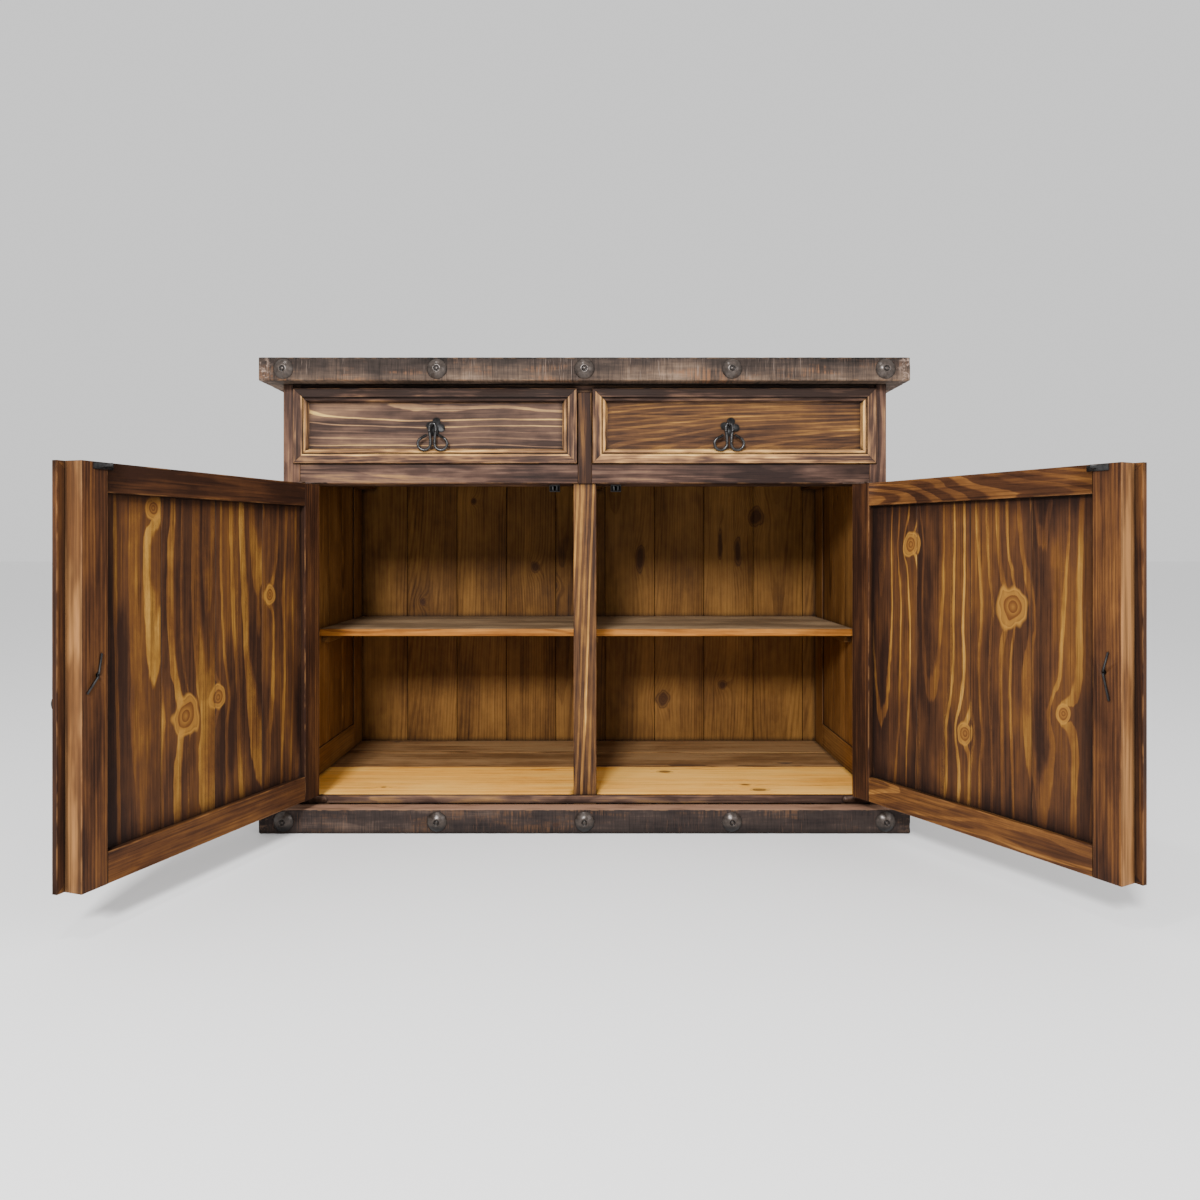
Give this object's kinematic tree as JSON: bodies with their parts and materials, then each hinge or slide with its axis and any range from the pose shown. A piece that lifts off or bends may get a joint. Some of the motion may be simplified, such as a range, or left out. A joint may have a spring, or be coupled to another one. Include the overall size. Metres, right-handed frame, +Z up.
{
  "type": "buffet cabinet",
  "caption": "Rustic pine buffet cabinet with a thick studded top and plinth, drawers over panelled doors that stand open, a shelf behind each door, wrought-iron pulls and roller catches.",
  "frame": {"origin": "on the floor, in the middle of the footprint of top and plinth", "axes": "+X to the viewer's right, +Z up, the front with drawers and doors faces -Y"},
  "size_m": [1.52, 1.0236, 0.893],
  "materials": {
    "rough_sawn_pine": "rough-sawn pine, dark stained and rubbed",
    "stained_pine": "planed pine, walnut stain, satin wax",
    "natural_pine": "planed pine, light wax",
    "black_iron": "hand-forged, blackened and waxed",
    "bronzed_iron": "domed heads, brown patina",
    "roller_steel": "turned, dull"
  },
  "bodies": {
    "case": {"top_front_plank": "rough_sawn_pine", "top_rear_planks": "rough_sawn_pine", "plinth_front": "rough_sawn_pine", "plinth_left": "rough_sawn_pine", "plinth_right": "rough_sawn_pine", "base_bearers": "natural_pine", "stile_left": "stained_pine", "stile_right": "stained_pine", "top_rail": "stained_pine", "mid_rail": "stained_pine", "bottom_rail": "stained_pine", "drawer_divider": "stained_pine", "mullion": "stained_pine", "side_frame_left": "stained_pine", "side_panel_left": "stained_pine", "side_frame_right": "stained_pine", "side_panel_right": "stained_pine", "back_boards": "natural_pine", "floor_boards": "natural_pine", "partition": "natural_pine", "shelf_left": "natural_pine", "shelf_right": "natural_pine", "shelf_cleats": "natural_pine", "drawer_runners": "natural_pine", "clavos": "bronzed_iron", "hinge_plates": "black_iron", "roller_catches": "black_iron"},
    "drawer_left": {"drawer_left_moulding": "stained_pine", "drawer_left_front": "stained_pine", "drawer_left_box": "natural_pine", "drawer_left_bottom": "natural_pine", "drawer_left_pull_fixings": "black_iron"},
    "drawer_right": {"drawer_right_moulding": "stained_pine", "drawer_right_front": "stained_pine", "drawer_right_box": "natural_pine", "drawer_right_bottom": "natural_pine", "drawer_right_pull_fixings": "black_iron"},
    "door_left": {"door_left_stiles": "stained_pine", "door_left_rails": "stained_pine", "door_left_panel": "stained_pine", "door_left_moulding": "stained_pine", "door_left_hinge_leaves": "black_iron", "door_left_strike": "black_iron", "door_left_pull_fixings": "black_iron"},
    "door_right": {"door_right_stiles": "stained_pine", "door_right_rails": "stained_pine", "door_right_panel": "stained_pine", "door_right_moulding": "stained_pine", "door_right_hinge_leaves": "black_iron", "door_right_strike": "black_iron", "door_right_pull_fixings": "black_iron"},
    "catch_left_outer_roller_body": {"catch_left_outer_roller": "roller_steel"},
    "catch_left_inner_roller_body": {"catch_left_inner_roller": "roller_steel"},
    "catch_right_inner_roller_body": {"catch_right_inner_roller": "roller_steel"},
    "catch_right_outer_roller_body": {"catch_right_outer_roller": "roller_steel"},
    "drawer_left_pull_body": {"drawer_left_pull": "black_iron"},
    "drawer_right_pull_body": {"drawer_right_pull": "black_iron"},
    "door_left_pull_body": {"door_left_pull": "black_iron"},
    "door_right_pull_body": {"door_right_pull": "black_iron"}
  },
  "joints": [
    {"name": "door_left_hinge", "type": "hinge", "parent": "case", "child": "door_left", "pos_m": [-0.5415, -0.2445, 0.067], "axis": [0, 0, 1], "range_deg": [-56, 109]},
    {"name": "door_right_hinge", "type": "hinge", "parent": "case", "child": "door_right", "pos_m": [0.5415, -0.2445, 0.067], "axis": [0, 0, -1], "range_deg": [-46.5, 118.5]},
    {"name": "drawer_left_slide", "type": "slide", "parent": "case", "child": "drawer_left", "axis": [0, -1, 0], "range_m": [0, 0.3]},
    {"name": "drawer_right_slide", "type": "slide", "parent": "case", "child": "drawer_right", "axis": [0, -1, 0], "range_m": [0, 0.3]},
    {"name": "drawer_left_pull_swing", "type": "hinge", "parent": "drawer_left", "child": "drawer_left_pull_body", "pos_m": [-0.29, -0.2482, 0.7722], "axis": [-1, 0, 0], "range_deg": [0, 150]},
    {"name": "door_left_pull_swing", "type": "hinge", "parent": "door_left", "child": "door_left_pull_body", "pos_m": [-0.70926, -0.70444, 0.361], "axis": [0.3256, 0.9455, 0], "range_deg": [0, 150]},
    {"name": "drawer_right_pull_swing", "type": "hinge", "parent": "drawer_right", "child": "drawer_right_pull_body", "pos_m": [0.275, -0.2482, 0.7722], "axis": [-1, 0, 0], "range_deg": [0, 150]},
    {"name": "door_right_pull_swing", "type": "hinge", "parent": "door_right", "child": "door_right_pull_body", "pos_m": [0.78287, -0.67044, 0.361], "axis": [0.4772, -0.8788, 0], "range_deg": [0, 150]},
    {"name": "catch_left_outer_roller_spin", "type": "hinge", "parent": "case", "child": "catch_left_outer_roller_body", "pos_m": [-0.0644, -0.1925, 0.6481], "axis": [0, 0, 1], "continuous": true},
    {"name": "catch_left_inner_roller_spin", "type": "hinge", "parent": "case", "child": "catch_left_inner_roller_body", "pos_m": [-0.0556, -0.1925, 0.6481], "axis": [0, 0, 1], "continuous": true},
    {"name": "catch_right_inner_roller_spin", "type": "hinge", "parent": "case", "child": "catch_right_inner_roller_body", "pos_m": [0.0556, -0.1925, 0.6481], "axis": [0, 0, 1], "continuous": true},
    {"name": "catch_right_outer_roller_spin", "type": "hinge", "parent": "case", "child": "catch_right_outer_roller_body", "pos_m": [0.0644, -0.1925, 0.6481], "axis": [0, 0, 1], "continuous": true}
  ]
}
